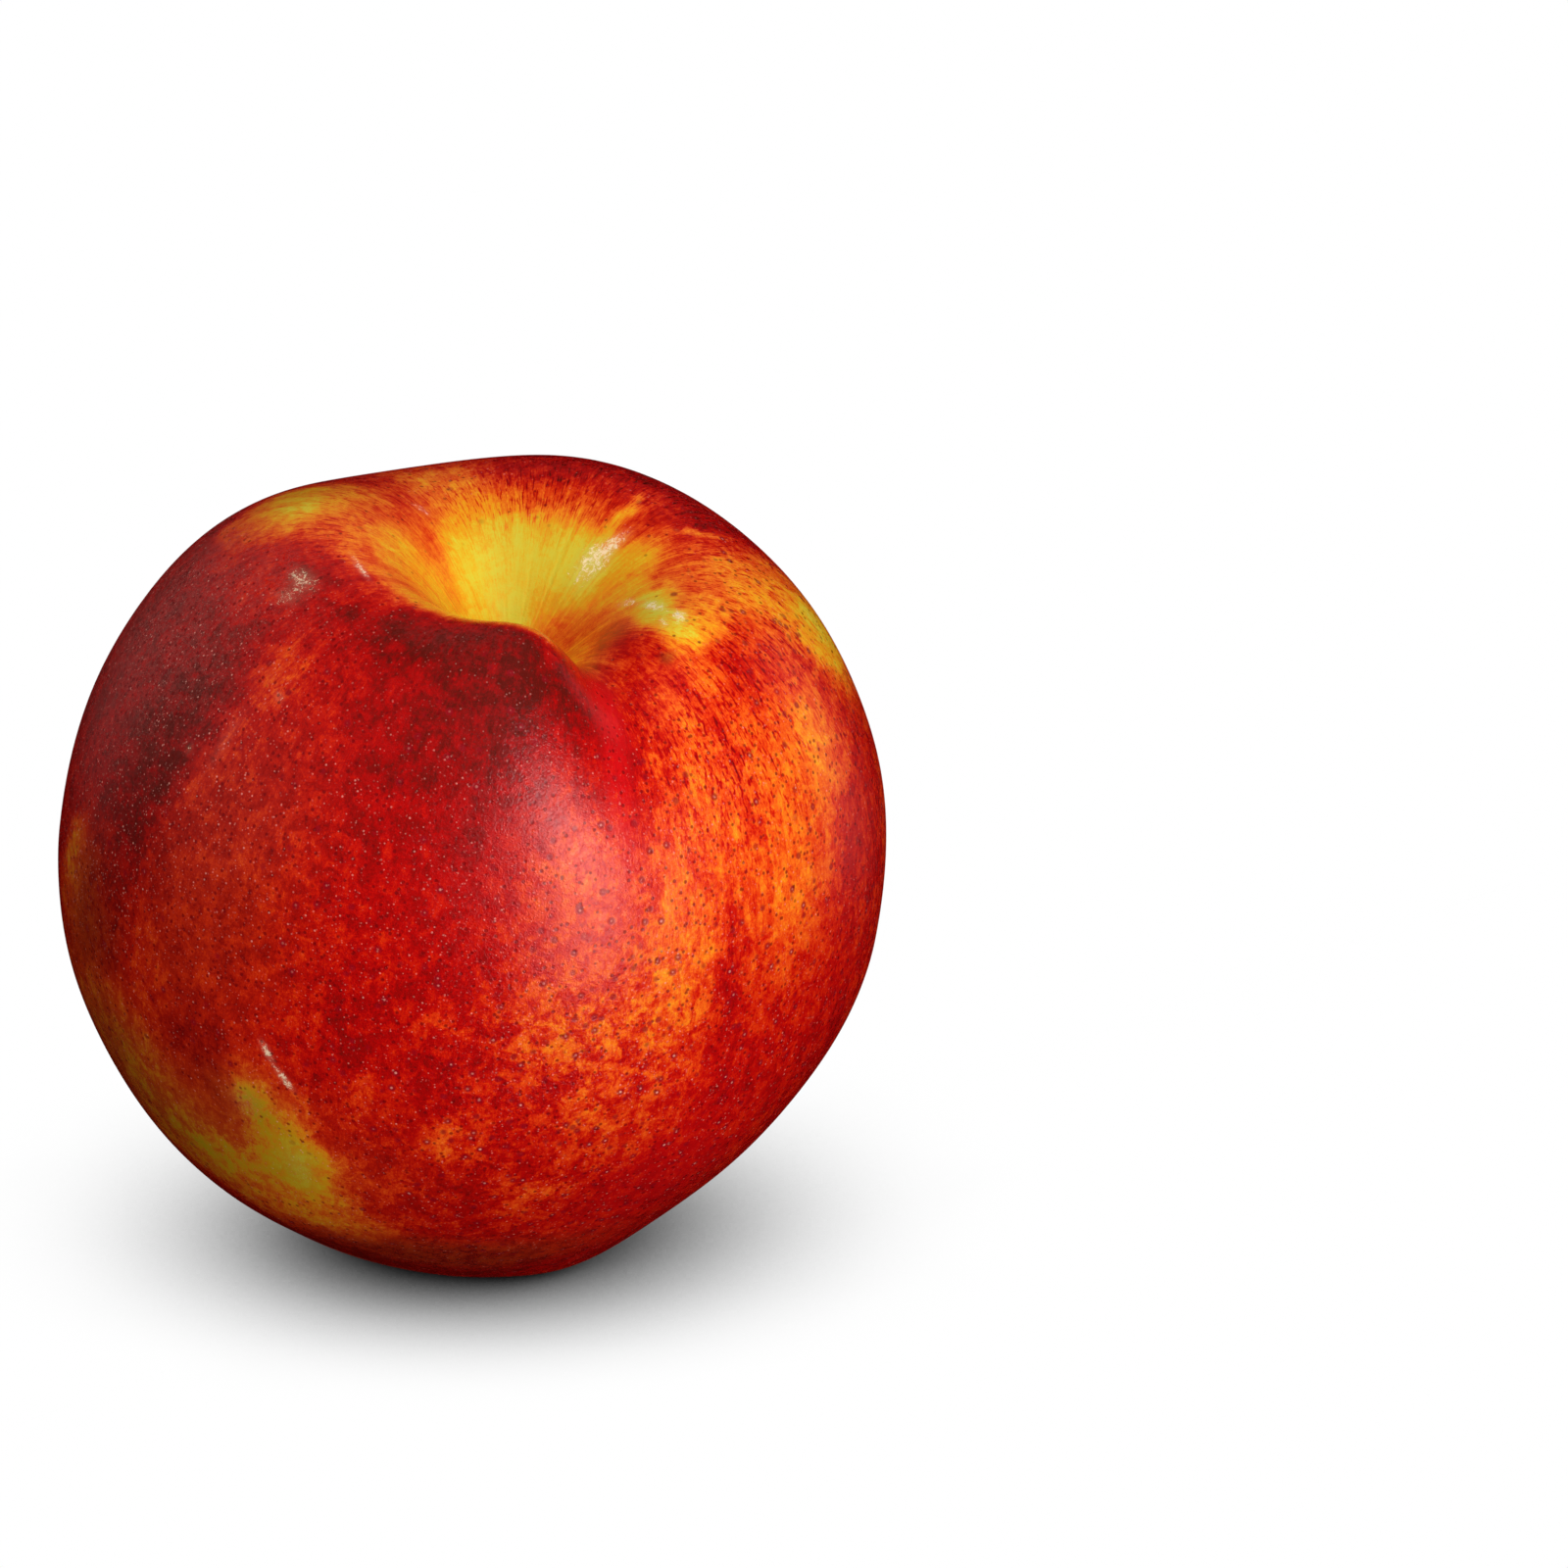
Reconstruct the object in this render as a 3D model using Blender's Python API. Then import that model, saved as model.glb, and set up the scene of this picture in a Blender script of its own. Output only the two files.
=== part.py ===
"""One whole ripe nectarine, resting on the small flat of its underside.

The body starts as a UV sphere and is turned into a fruit: blunt at the stalk end, tapered
towards the tip, with a stalk cavity, raised lobes beside it and a suture on one side.  It is
shaped upright in its own axes, +Z at the stalk end and +X at the suture.  The object's
rotation then leans it over, and its underside is cut flat along the surface it rests on.
All sizes are in metres.
"""

import math

import bmesh
import bpy
import numpy as np
from mathutils import Matrix, Vector

MM = 0.001

# Body of revolution, about the stalk axis, measured from its widest section.
MAX_RADIUS = 36.8 * MM
STALK_END_HEIGHT = 39.0 * MM
TIP_HEIGHT = 39.8 * MM
STALK_END_SQUARENESS = 2.25
TIP_SQUARENESS = 1.78

# One cheek is fuller than the rest. Low down, beside the tip, the body swells on one side
# and is leaner on another: each is given as its rise, its azimuth and its width in degrees.
FULL_CHEEK_GROWTH = 2.0 * MM
FULL_CHEEK_AZIMUTH = math.radians(75)
FULL_CHEEK_WIDTH = math.radians(45)
LOW_SWELLS = (
    (1.0 * MM, 16, 26),
    (-0.8 * MM, -50, 34),
)
LOW_SWELL_POLAR = math.radians(149)
LOW_SWELL_REACH = math.radians(13)

# Stalk cavity: a funnel, longer along the suture than across it.
CAVITY_DEPTH = 17.0 * MM
CAVITY_ALONG_SUTURE = 11.0 * MM
CAVITY_ACROSS_SUTURE = 9.5 * MM
CAVITY_STEEPNESS = 1.5

# The stalk end is grown a little towards the suture, so the axis bends there.
STALK_END_SHIFT = 4.0 * MM
STALK_END_SHIFT_RADIUS = 24.0 * MM

# Rim around the cavity, fading down the sides. Each rise or dip is given as its height,
# its azimuth and its width, the last two in degrees.
RIM_RADIUS = 20.0 * MM
RIM_WIDTH = 13.0 * MM
RIM_FADE_START = 5.0 * MM
RIM_FADE_SPAN = 25.0 * MM
RIM_RISES = (
    (3.2 * MM, -20, 28),
    (1.5 * MM, 135, 45),
    (0.9 * MM, -125, 30),
    (-3.8 * MM, 0, 20),
    (-2.0 * MM, 178, 28),
)

# Suture: a groove down one side, deepest beside the cavity and faint towards the tip.
SUTURE_DEPTH = 1.1 * MM
SUTURE_HALF_WIDTH = 3.6 * MM
SUTURE_START = 16.0 * MM
SUTURE_FADE_START = 15.0 * MM
SUTURE_FADE_SPAN = 14.0 * MM
SUTURE_FADE_HEIGHT = 15.0 * MM
SUTURE_LOW_SHARE = 0.12

# Pose on the table, and the flat that the fruit rests on.
TURN_ABOUT_STALK_AXIS = math.radians(-60)
LEAN = math.radians(15)
LEAN_TOWARDS = math.radians(-54)
FLAT_DEPTH = 0.8 * MM

# Mesh
SEGMENTS = 72
RINGS = 44
RING_CROWDING = 1.2
CUT_TOLERANCE = 0.001 * MM
POLE_MARGIN = 1e-6
MOST_CORNERS_OF_SKIN_FACE = 4

SKIN_COLOUR = (0.50, 0.020, 0.012, 1.0)
SKIN_ROUGHNESS = 0.36


def smooth_step(value):
    """Go smoothly from 0 to 1 as the value does."""
    value = np.clip(value, 0.0, 1.0)
    return value * value * (3.0 - 2.0 * value)


def bump(azimuth, centre, width):
    """A rounded rise around the stalk axis, 1 at its centre."""
    return np.exp(-(1.0 - np.cos(azimuth - centre)) / (1.0 - math.cos(width)))


def fruit_surface(polar, azimuth):
    """Return the skin's points, from the angle off the stalk end and the angle off the suture."""
    upper = np.cos(polar) > 0.0
    height = np.where(upper, STALK_END_HEIGHT, TIP_HEIGHT)
    square = np.where(upper, STALK_END_SQUARENESS, TIP_SQUARENESS)
    fullness = FULL_CHEEK_GROWTH * bump(azimuth, FULL_CHEEK_AZIMUTH, FULL_CHEEK_WIDTH)
    widest = MAX_RADIUS + fullness * np.sin(polar)
    reach = (np.sin(polar) / widest) ** square + (np.abs(np.cos(polar)) / height) ** square
    reach = reach ** (-1.0 / square)
    low_down = np.exp(-(((polar - LOW_SWELL_POLAR) / LOW_SWELL_REACH) ** 2))
    for rise, centre, width in LOW_SWELLS:
        reach = reach + rise * low_down * bump(azimuth, math.radians(centre), math.radians(width))
    radius = reach * np.sin(polar)
    x = radius * np.cos(azimuth)
    y = radius * np.sin(azimuth)
    z = reach * np.cos(polar)
    outward = np.stack([x, y, z]) / reach

    near_rim = smooth_step((z - RIM_FADE_START) / RIM_FADE_SPAN)
    near_rim = near_rim * np.exp(-(((radius - RIM_RADIUS) / RIM_WIDTH) ** 2))
    for rise, centre, width in RIM_RISES:
        z = z + rise * near_rim * bump(azimuth, math.radians(centre), math.radians(width))

    from_cavity = np.hypot(x / CAVITY_ALONG_SUTURE, y / CAVITY_ACROSS_SUTURE)
    funnel = CAVITY_DEPTH * np.exp(-(from_cavity ** CAVITY_STEEPNESS))
    z = z - np.where(upper, funnel, 0.0)
    shift = STALK_END_SHIFT * np.exp(-((radius / STALK_END_SHIFT_RADIUS) ** 2))
    x = x + shift * smooth_step(reach * np.cos(polar) / STALK_END_SHIFT_RADIUS)

    on_suture = np.exp(-((y / SUTURE_HALF_WIDTH) ** 2)) * smooth_step(x / SUTURE_START)
    near_cavity = 1.0 - smooth_step((radius - SUTURE_FADE_START) / SUTURE_FADE_SPAN)
    near_cavity = near_cavity * smooth_step(z / SUTURE_FADE_HEIGHT)
    groove = SUTURE_DEPTH * on_suture * (SUTURE_LOW_SHARE + (1.0 - SUTURE_LOW_SHARE) * near_cavity)
    return np.stack([x, y, z], axis=-1) - np.moveaxis(groove * outward, 0, -1)


def resting_rotation():
    """Turn the suture to its side, then lean the stalk end over."""
    lean_axis = Vector((-math.sin(LEAN_TOWARDS), math.cos(LEAN_TOWARDS), 0.0))
    turn = Matrix.Rotation(TURN_ABOUT_STALK_AXIS, 4, "Z")
    return Matrix.Rotation(LEAN, 4, lean_axis) @ turn


def shape_fruit(mesh):
    """Move each point of the sphere onto the fruit's skin."""
    for vertex in mesh.verts:
        direction = vertex.co.normalized()
        share = math.acos(max(-1.0, min(1.0, direction.z))) / math.pi
        polar = max(math.pi * share ** RING_CROWDING, POLE_MARGIN)
        azimuth = math.atan2(direction.y, direction.x)
        vertex.co = Vector(fruit_surface(np.array(polar), np.array(azimuth)))


def cut_resting_flat(mesh, rotation):
    """Slice off the underside level with the table, and close it with one face."""
    down = rotation.to_3x3().transposed() @ Vector((0.0, 0.0, -1.0))
    lowest = max(vertex.co.dot(down) for vertex in mesh.verts)
    everything = mesh.verts[:] + mesh.edges[:] + mesh.faces[:]
    cut = bmesh.ops.bisect_plane(
        mesh, geom=everything, dist=CUT_TOLERANCE, plane_co=down * (lowest - FLAT_DEPTH),
        plane_no=down, clear_outer=True)
    rim = [piece for piece in cut["geom_cut"] if isinstance(piece, bmesh.types.BMEdge)]
    bmesh.ops.contextual_create(mesh, geom=rim)


def skin_material():
    material = bpy.data.materials.new("skin")
    material.use_nodes = True
    shader = material.node_tree.nodes["Principled BSDF"]
    shader.inputs["Base Color"].default_value = SKIN_COLOUR
    shader.inputs["Roughness"].default_value = SKIN_ROUGHNESS
    shader.inputs["Metallic"].default_value = 0.0
    return material


def make_nectarine(collection):
    """Build the whole fruit as one closed solid, standing on the world's origin."""
    rotation = resting_rotation()
    mesh = bmesh.new()
    bmesh.ops.create_uvsphere(mesh, u_segments=SEGMENTS, v_segments=RINGS, radius=1.0)
    shape_fruit(mesh)
    cut_resting_flat(mesh, rotation)
    bmesh.ops.recalc_face_normals(mesh, faces=mesh.faces[:])
    for face in mesh.faces:
        face.smooth = len(face.verts) <= MOST_CORNERS_OF_SKIN_FACE
    data = bpy.data.meshes.new("nectarine")
    mesh.to_mesh(data)
    mesh.free()
    data.materials.append(skin_material())

    fruit = bpy.data.objects.new("nectarine", data)
    collection.objects.link(fruit)
    corners = np.array([rotation @ vertex.co for vertex in data.vertices])
    middle = (corners.min(axis=0) + corners.max(axis=0)) / 2.0
    to_origin = Matrix.Translation((-middle[0], -middle[1], -corners[:, 2].min()))
    fruit.matrix_world = to_origin @ rotation
    return fruit


def main():
    for leftover in list(bpy.data.objects):
        bpy.data.objects.remove(leftover, do_unlink=True)
    collection = bpy.data.collections.new("nectarine")
    bpy.context.scene.collection.children.link(collection)
    make_nectarine(collection)


main()
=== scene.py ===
"""Looks of the nectarine: its skin at full detail, studio floor, lights and camera."""

import math

import bmesh
import bpy
import numpy as np
from mathutils import Matrix, Vector


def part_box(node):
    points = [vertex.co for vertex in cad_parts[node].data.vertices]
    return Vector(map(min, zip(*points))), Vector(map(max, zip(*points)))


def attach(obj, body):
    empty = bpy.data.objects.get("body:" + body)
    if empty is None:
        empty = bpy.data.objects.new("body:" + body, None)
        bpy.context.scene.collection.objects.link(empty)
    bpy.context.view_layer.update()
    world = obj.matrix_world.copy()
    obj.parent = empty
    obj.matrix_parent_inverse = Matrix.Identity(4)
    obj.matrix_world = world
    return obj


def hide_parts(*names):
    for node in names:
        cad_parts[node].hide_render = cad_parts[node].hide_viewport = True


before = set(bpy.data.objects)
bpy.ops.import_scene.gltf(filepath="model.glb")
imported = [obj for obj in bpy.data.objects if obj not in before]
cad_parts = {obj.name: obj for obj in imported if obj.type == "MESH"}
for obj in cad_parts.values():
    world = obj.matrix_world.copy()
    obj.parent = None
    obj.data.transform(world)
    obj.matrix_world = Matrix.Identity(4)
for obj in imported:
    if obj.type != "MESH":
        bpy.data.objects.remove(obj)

MM = 0.001
SEED = 7

# ---------------------------------------------------------------------------
# Shape: the same driving dimensions as the CAD solid, on a much finer sphere.
# ---------------------------------------------------------------------------

MAX_RADIUS = 36.8 * MM
STALK_END_HEIGHT = 39.0 * MM
TIP_HEIGHT = 39.8 * MM
STALK_END_SQUARENESS = 2.25
TIP_SQUARENESS = 1.78

FULL_CHEEK_GROWTH = 2.0 * MM
FULL_CHEEK_AZIMUTH = math.radians(75)
FULL_CHEEK_WIDTH = math.radians(45)

# Swells low down: height, then azimuth and width in degrees.
LOW_SWELLS = (
    (1.0 * MM, 16, 26),
    (-0.8 * MM, -50, 34),
)
LOW_SWELL_POLAR = math.radians(149)
LOW_SWELL_REACH = math.radians(13)

CAVITY_DEPTH = 17.0 * MM
CAVITY_ALONG_SUTURE = 11.0 * MM
CAVITY_ACROSS_SUTURE = 9.5 * MM
CAVITY_STEEPNESS = 1.5
STALK_END_SHIFT = 4.0 * MM
STALK_END_SHIFT_RADIUS = 24.0 * MM

RIM_RADIUS = 20.0 * MM
RIM_WIDTH = 13.0 * MM
RIM_FADE_START = 5.0 * MM
RIM_FADE_SPAN = 25.0 * MM
# The rim's rises and dips: height, then azimuth and width in degrees.
RIM_RISES = (
    (3.2 * MM, -20, 28),
    (1.5 * MM, 135, 45),
    (0.9 * MM, -125, 30),
    (-3.8 * MM, 0, 20),
    (-2.0 * MM, 178, 28),
)

SUTURE_DEPTH = 1.1 * MM
SUTURE_HALF_WIDTH = 3.6 * MM
SUTURE_START = 16.0 * MM
SUTURE_FADE_START = 15.0 * MM
SUTURE_FADE_SPAN = 14.0 * MM
SUTURE_FADE_HEIGHT = 15.0 * MM
SUTURE_LOW_SHARE = 0.12

TURN_ABOUT_STALK_AXIS = math.radians(-60)
LEAN = math.radians(15)
LEAN_TOWARDS = math.radians(-54)


def smooth_step(value):
    """Go smoothly from 0 to 1 as the value does."""
    value = np.clip(value, 0.0, 1.0)
    return value * value * (3.0 - 2.0 * value)


def bump(azimuth, centre, width):
    """A rounded rise around the stalk axis, 1 at its centre."""
    return np.exp(-(1.0 - np.cos(azimuth - centre)) / (1.0 - math.cos(width)))


def body_reach(polar, azimuth, upper):
    """How far the body reaches from its middle, before the rim, cavity and suture."""
    height = np.where(upper, STALK_END_HEIGHT, TIP_HEIGHT)
    square = np.where(upper, STALK_END_SQUARENESS, TIP_SQUARENESS)
    fullness = FULL_CHEEK_GROWTH * bump(azimuth, FULL_CHEEK_AZIMUTH, FULL_CHEEK_WIDTH)
    widest = MAX_RADIUS + fullness * np.sin(polar)
    reach = (np.sin(polar) / widest) ** square + (np.abs(np.cos(polar)) / height) ** square
    reach = reach ** (-1.0 / square)
    low_down = np.exp(-(((polar - LOW_SWELL_POLAR) / LOW_SWELL_REACH) ** 2))
    for rise, centre, width in LOW_SWELLS:
        reach = reach + rise * low_down * bump(azimuth, math.radians(centre), math.radians(width))
    return reach


def suture_groove(x, y, z, radius):
    """How deep the suture lies in the skin."""
    on_suture = np.exp(-((y / SUTURE_HALF_WIDTH) ** 2)) * smooth_step(x / SUTURE_START)
    near_cavity = 1.0 - smooth_step((radius - SUTURE_FADE_START) / SUTURE_FADE_SPAN)
    near_cavity = near_cavity * smooth_step(z / SUTURE_FADE_HEIGHT)
    return SUTURE_DEPTH * on_suture * (SUTURE_LOW_SHARE + (1.0 - SUTURE_LOW_SHARE) * near_cavity)


def fruit_surface(polar, azimuth):
    """Return the skin's points, from the angle off the stalk end and the angle off the suture."""
    upper = np.cos(polar) > 0.0
    reach = body_reach(polar, azimuth, upper)
    radius = reach * np.sin(polar)
    x = radius * np.cos(azimuth)
    y = radius * np.sin(azimuth)
    z = reach * np.cos(polar)
    outward = np.stack([x, y, z]) / reach

    near_rim = smooth_step((z - RIM_FADE_START) / RIM_FADE_SPAN)
    near_rim = near_rim * np.exp(-(((radius - RIM_RADIUS) / RIM_WIDTH) ** 2))
    for rise, centre, width in RIM_RISES:
        z = z + rise * near_rim * bump(azimuth, math.radians(centre), math.radians(width))

    from_cavity = np.hypot(x / CAVITY_ALONG_SUTURE, y / CAVITY_ACROSS_SUTURE)
    funnel = CAVITY_DEPTH * np.exp(-(from_cavity ** CAVITY_STEEPNESS))
    z = z - np.where(upper, funnel, 0.0)
    shift = STALK_END_SHIFT * np.exp(-((radius / STALK_END_SHIFT_RADIUS) ** 2))
    x = x + shift * smooth_step(reach * np.cos(polar) / STALK_END_SHIFT_RADIUS)

    groove = suture_groove(x, y, z, radius)
    return np.stack([x, y, z], axis=-1) - np.moveaxis(groove * outward, 0, -1)


# ---------------------------------------------------------------------------
# Fine relief, added along the skin's normals.
# ---------------------------------------------------------------------------

UNEVENNESS = 0.10 * MM
UNEVEN_WAVES = 14
UNEVEN_LENGTHS_MM = (12.0, 30.0)

CREASE_DEPTH = 0.035 * MM
CREASE_COUNTS = (17, 29, 43, 61, 83)
CREASE_WANDER = 1.5
CREASE_WANDER_WAVES = (6.0, 14.0)
CREASE_PHASES = (0.0, 6.0)
CREASE_REACH = math.radians(20)
CREASE_START = math.radians(4)

SCAR_RADIUS = 2.6 * MM
STUB_HEIGHT = 1.1 * MM
STUB_RADIUS = 0.55 * SCAR_RADIUS
HOLLOW_DEPTH = 0.45 * STUB_HEIGHT
HOLLOW_RADIUS = 0.22 * SCAR_RADIUS
RING_DEPTH = 0.3 * MM
RING_WIDTH = 0.18 * SCAR_RADIUS
COLLAR_HEIGHT = 0.25 * MM
COLLAR_RADIUS = 1.5 * SCAR_RADIUS
COLLAR_WIDTH = 0.25 * SCAR_RADIUS
TIP_POINT_HEIGHT = 0.35 * MM
TIP_POINT_RADIUS = 0.8 * MM
DRY_TIP_RADIUS = 0.9 * MM

# How the stub's height and the dry skin's edge vary around the stalk: a mean, then waves as
# size, count and phase.
STUB_VARIATION = (1.0, ((0.25, 5.0, 1.0), (0.15, 11.0, 0.0)))
DRY_VARIATION = (1.25, ((0.16, 3.0, 0.6), (0.10, 8.0, 0.0)))

NORMAL_STEP = 1e-4


def unevenness(places, random):
    """Broad, shallow lumps: a sum of waves in random directions."""
    height = np.zeros(len(places))
    for _ in range(UNEVEN_WAVES):
        direction = random.normal(size=3)
        direction /= np.linalg.norm(direction)
        wavelength = random.uniform(*UNEVEN_LENGTHS_MM) * MM
        phase = random.uniform(0.0, 2.0 * math.pi)
        height += np.sin(places @ direction * 2.0 * math.pi / wavelength + phase)
    return UNEVENNESS * height / math.sqrt(UNEVEN_WAVES)


def cavity_creases(polar, azimuth, random):
    """Fine folds that run down into the stalk cavity."""
    depth = np.zeros(len(polar))
    for count in CREASE_COUNTS:
        waves = random.uniform(*CREASE_WANDER_WAVES)
        wander = CREASE_WANDER * np.sin(polar * waves + random.uniform(*CREASE_PHASES))
        depth += np.cos(count * azimuth + wander + random.uniform(*CREASE_PHASES))
    fade = np.exp(-((polar / CREASE_REACH) ** 2)) * smooth_step(polar / CREASE_START)
    return CREASE_DEPTH * depth / len(CREASE_COUNTS) * fade


def around_stalk(azimuth, mean, waves):
    """A factor that varies around the stalk: a mean with waves on it."""
    return mean + sum(size * np.sin(count * azimuth + phase) for size, count, phase in waves)


def stalk_scar(polar, azimuth):
    """The dry stub of the stalk on the cavity's floor, with a sunken ring around it."""
    away = polar * STALK_END_HEIGHT
    stub = STUB_HEIGHT * np.exp(-((away / STUB_RADIUS) ** 4)) * around_stalk(azimuth, *STUB_VARIATION)
    hollow = HOLLOW_DEPTH * np.exp(-((away / HOLLOW_RADIUS) ** 2))
    ring = RING_DEPTH * np.exp(-(((away - SCAR_RADIUS) / RING_WIDTH) ** 2))
    collar = COLLAR_HEIGHT * np.exp(-(((away - COLLAR_RADIUS) / COLLAR_WIDTH) ** 2))
    return stub - hollow - ring + collar


def tip_point(polar):
    """The small dry point that the flower left at the other end."""
    away = (math.pi - polar) * TIP_HEIGHT
    return TIP_POINT_HEIGHT * np.exp(-((away / TIP_POINT_RADIUS) ** 2))


def dryness(polar, azimuth):
    """How dry and woody the skin is: 1 on the stalk scar and the tip point, 0 elsewhere."""
    scar_edge = SCAR_RADIUS * around_stalk(azimuth, *DRY_VARIATION)
    scar = np.exp(-((polar * STALK_END_HEIGHT / scar_edge) ** 6))
    tip = np.exp(-(((math.pi - polar) * TIP_HEIGHT / DRY_TIP_RADIUS) ** 4))
    return np.maximum(scar, tip)


def surface_normals(polar, azimuth):
    """Outward normals, from small steps along the surface."""
    step = NORMAL_STEP
    inner = np.clip(polar, 2.0 * step, math.pi - 2.0 * step)
    down = fruit_surface(inner + step, azimuth) - fruit_surface(inner - step, azimuth)
    around = fruit_surface(inner, azimuth + step) - fruit_surface(inner, azimuth - step)
    normal = np.cross(down, around)
    return normal / np.linalg.norm(normal, axis=1, keepdims=True)


# ---------------------------------------------------------------------------
# Painted maps of the skin. Each patch is soft-edged and has its middle's azimuth and polar
# angle, its half width across and half length along the meridian, its turn, all in degrees,
# then the value that it paints and how strongly. Later patches go over earlier ones.
# ---------------------------------------------------------------------------

# How sharply a patch ends, and how its edge wavers: wavelengths in degrees, shift as a share of
# the wavelength.
PATCH_EDGE = 2.6
WAVER_WAVES = 40
WAVER_LENGTHS = (3.0, 14.0)
WAVER_SHARE = 0.016
SMALLEST_SINE = 1e-6

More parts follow.
